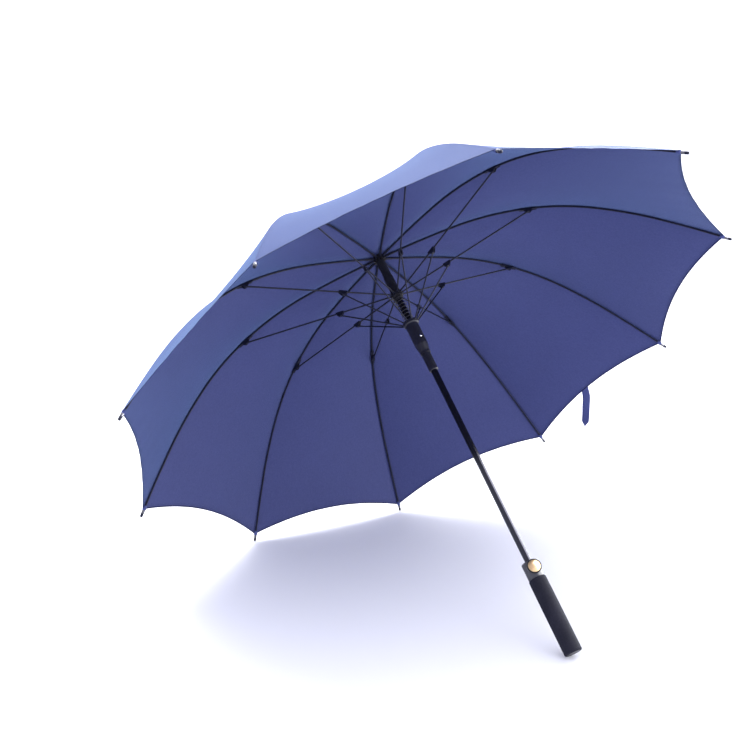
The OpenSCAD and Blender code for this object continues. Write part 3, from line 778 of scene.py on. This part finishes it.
# ---------------------------------------------------------------- stage
REST_TIPS = (5, 6)
GRIP_EDGE = 3.4 * MM
FWD = Vector((0.300574, 0.875738, 0.377807)).normalized()
CAM_UP = Vector((0.297486, -0.462446, 0.835252)).normalized()
CAM_AT = Vector((-0.730382, -1.914245, -0.408588))
FLOOR_NEAR, FLOOR_FAR, FLOOR_SIDE = -3.5, 2.2, 7
SWEEP_R = 1.6
WALL_TOP = 6.0


def resting():
    """The floor's direction and a point on it: it touches two rib tips and the grip's end."""
    x, z, _ = rib(RUN + CAP_OUT)
    up = Vector((0.22, -0.67, 0.71))
    for _ in range(8):
        up.normalize()
        side = Vector((-up.x, -up.y, 0)).normalized()
        low = Vector((0, 0, grip_lo.z + GRIP_EDGE))
        low += side * (grip_hi.x - GRIP_EDGE) - up * GRIP_EDGE
        a, b = (polar(azimuth(i), x, z) - up * CAP_R for i in REST_TIPS)
        up = (a - low).cross(b - low)
        up = up if up.z > 0 else -up
    return up.normalized(), low


UP, handle_low = resting()
flat_fwd = (FWD - UP * FWD.dot(UP)).normalized()
flat_right = flat_fwd.cross(UP).normalized()


def stage_material():
    """Pale floor that can't be seen from behind."""
    t = Tree("pale_floor")
    t.colour(t.noise(t.object_coords(), 1.2, 2, 0.5),
             [(0.3, (0.93, 0.93, 0.945)), (0.7, (0.95, 0.95, 0.96))])
    t.fixed(Roughness=0.7)
    clear = t.add("ShaderNodeBsdfTransparent")
    mixer = t.add("ShaderNodeMixShader")
    t.link(t.add("ShaderNodeNewGeometry").outputs["Backfacing"], mixer.inputs[0])
    t.link(t.bsdf.outputs[0], mixer.inputs[1])
    t.link(clear.outputs[0], mixer.inputs[2])
    t.link(mixer.outputs[0], t.out.inputs[0])
    return t.m


def make_floor():
    """Flat floor that sweeps up into a wall behind the umbrella."""
    centre = handle_low + flat_fwd * 0.4 - flat_right * 0.4
    profile = [(FLOOR_NEAR, 0.0), (FLOOR_FAR, 0.0)]
    for k in range(1, 13):
        b = math.pi / 2 * k / 12
        profile.append((FLOOR_FAR + SWEEP_R * math.sin(b), SWEEP_R * (1 - math.cos(b))))
    profile.append((FLOOR_FAR + SWEEP_R, WALL_TOP))
    verts = [centre + flat_fwd * f + UP * h + flat_right * side
             for f, h in profile for side in (-FLOOR_SIDE, FLOOR_SIDE)]
    faces = [(a, a + 1, a + 3, a + 2) for a in range(0, 2 * len(profile) - 2, 2)]
    mesh_object("floor", verts, faces, stage_material())


make_floor()

# ---------------------------------------------------------------- light
LIT = Vector((0, 0, 0.5))


def area_light(name, at, to, size, power):
    d = bpy.data.lights.new(name, "AREA")
    d.shape = "SQUARE"
    d.size = size
    d.energy = power
    o = bpy.data.objects.new(name, d)
    o.location = at
    o.rotation_euler = (to - at).to_track_quat("-Z", "Y").to_euler()
    bpy.context.scene.collection.objects.link(o)
    return o


def gloss_wall():
    """A bright wall on the right, seen only in the gloss of the shaft, collar and button."""
    shaft_low = Vector((0, 0, grip_hi.z + 0.1))
    view = (CAM_AT - shaft_low).normalized()
    ahead = Vector((view.x, view.y, 0)).normalized()
    beside = FWD.cross(CAM_UP)
    beside = Vector((beside.x, beside.y, 0))
    beside = (beside - ahead * beside.dot(ahead)).normalized()
    turn = math.radians(95)
    out = ahead * math.cos(turn) + beside * math.sin(turn)
    seen = out * math.hypot(view.x, view.y) - Vector((0, 0, view.z))
    wall = area_light("gloss_wall", shaft_low + seen * 1.8, shaft_low, 3.6, 430)
    wall.visible_diffuse = False


area_light("key", LIT + UP * 2.6 + flat_fwd * 1.2 - flat_right * 0.6, LIT, 3.4, 170)
area_light("fill", LIT + UP * 1.0 - flat_fwd * 2.6 + flat_right * 1.6, LIT, 2.4, 25)
gloss_wall()

bpy.context.scene.view_settings.view_transform = "Standard"
world = bpy.data.worlds.new("studio")
bpy.context.scene.world = world
world.use_nodes = True
background = world.node_tree.nodes["Background"]
background.inputs[0].default_value = (0.83, 0.85, 1.0, 1)
background.inputs[1].default_value = 1.62

# ---------------------------------------------------------------- camera
camera = bpy.data.cameras.new("camera")
camera.sensor_width = 36
camera.lens = 52.802
camera.shift_x = -0.0733
camera.shift_y = 0.0867
camera.clip_end = 60
camera_o = bpy.data.objects.new("camera", camera)
bpy.context.scene.collection.objects.link(camera_o)
right = FWD.cross(CAM_UP).normalized()
up = right.cross(FWD).normalized()
camera_o.matrix_world = Matrix((
    (right.x, up.x, -FWD.x, CAM_AT.x),
    (right.y, up.y, -FWD.y, CAM_AT.y),
    (right.z, up.z, -FWD.z, CAM_AT.z),
    (0, 0, 0, 1)))
bpy.context.scene.camera = camera_o
